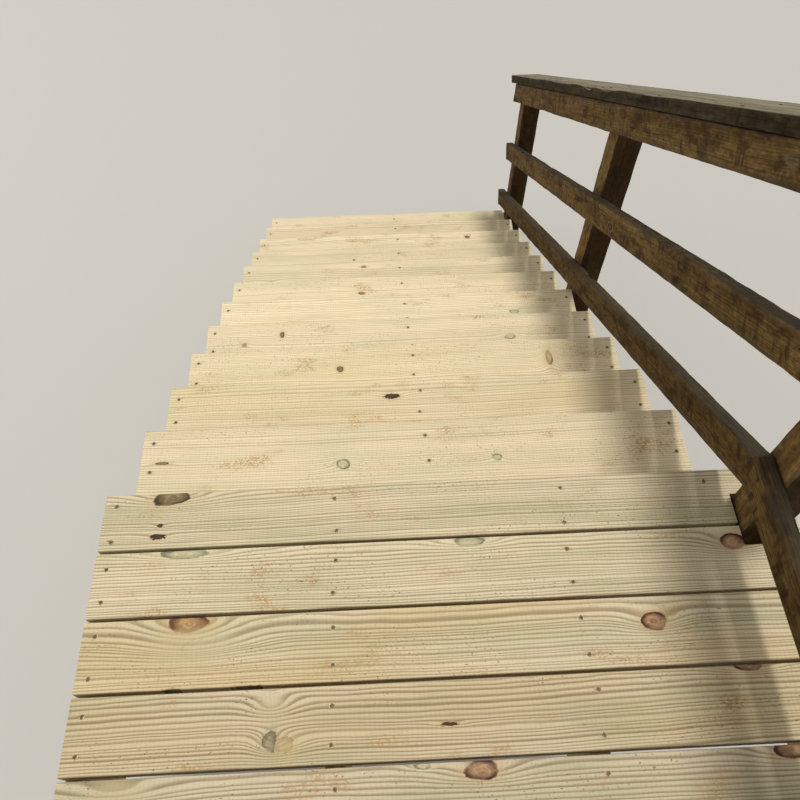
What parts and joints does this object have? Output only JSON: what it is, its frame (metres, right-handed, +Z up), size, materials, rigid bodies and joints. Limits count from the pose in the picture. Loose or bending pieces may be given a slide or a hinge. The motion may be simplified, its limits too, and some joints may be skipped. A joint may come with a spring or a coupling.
{
  "type": "wooden deck stairs",
  "caption": "Outdoor wooden stairs: a small landing on posts, a straight flight of open treads on notched stringers, and a flat-board guard rail along the right side.",
  "frame": {"origin": "on the ground, under the middle of the whole structure", "axes": "+Z up, +Y down the flight and away from the landing, +X to the right of someone walking down"},
  "size_m": [1.524, 3.8346, 2.7924],
  "materials": {
    "new_pine": "planed treated pine, new",
    "framing_pine": "planed treated pine, a season old",
    "weathered_pine": "weathered brown pine",
    "grey_cap": "weathered grey-brown pine"
  },
  "bodies": {
    "root": {"tread_01": "new_pine", "tread_02": "new_pine", "tread_03": "new_pine", "tread_04": "new_pine", "tread_05": "new_pine", "tread_06": "new_pine", "tread_07": "new_pine", "tread_08": "new_pine", "tread_09": "new_pine", "tread_10": "new_pine", "tread_11": "new_pine", "landing_board_1": "new_pine", "landing_board_2": "new_pine", "landing_board_3": "new_pine", "landing_board_4": "new_pine", "landing_board_5": "new_pine", "landing_board_6": "new_pine", "landing_board_7": "new_pine", "landing_board_8": "new_pine", "stringer_left": "framing_pine", "stringer_centre": "framing_pine", "stringer_right": "framing_pine", "landing_header": "framing_pine", "landing_back_rim": "framing_pine", "landing_left_rim": "framing_pine", "landing_right_rim": "framing_pine", "landing_joist_1": "framing_pine", "landing_joist_2": "framing_pine", "post_front_left": "framing_pine", "post_back_left": "framing_pine", "post_back_right": "weathered_pine", "post_front_right": "weathered_pine", "post_middle": "weathered_pine", "post_foot": "weathered_pine", "stair_bottom_rail": "weathered_pine", "stair_middle_rail": "weathered_pine", "stair_top_rail": "weathered_pine", "landing_bottom_rail": "weathered_pine", "landing_middle_rail": "weathered_pine", "landing_top_rail": "weathered_pine", "stair_cap": "grey_cap", "landing_cap": "grey_cap"}
  },
  "joints": []
}
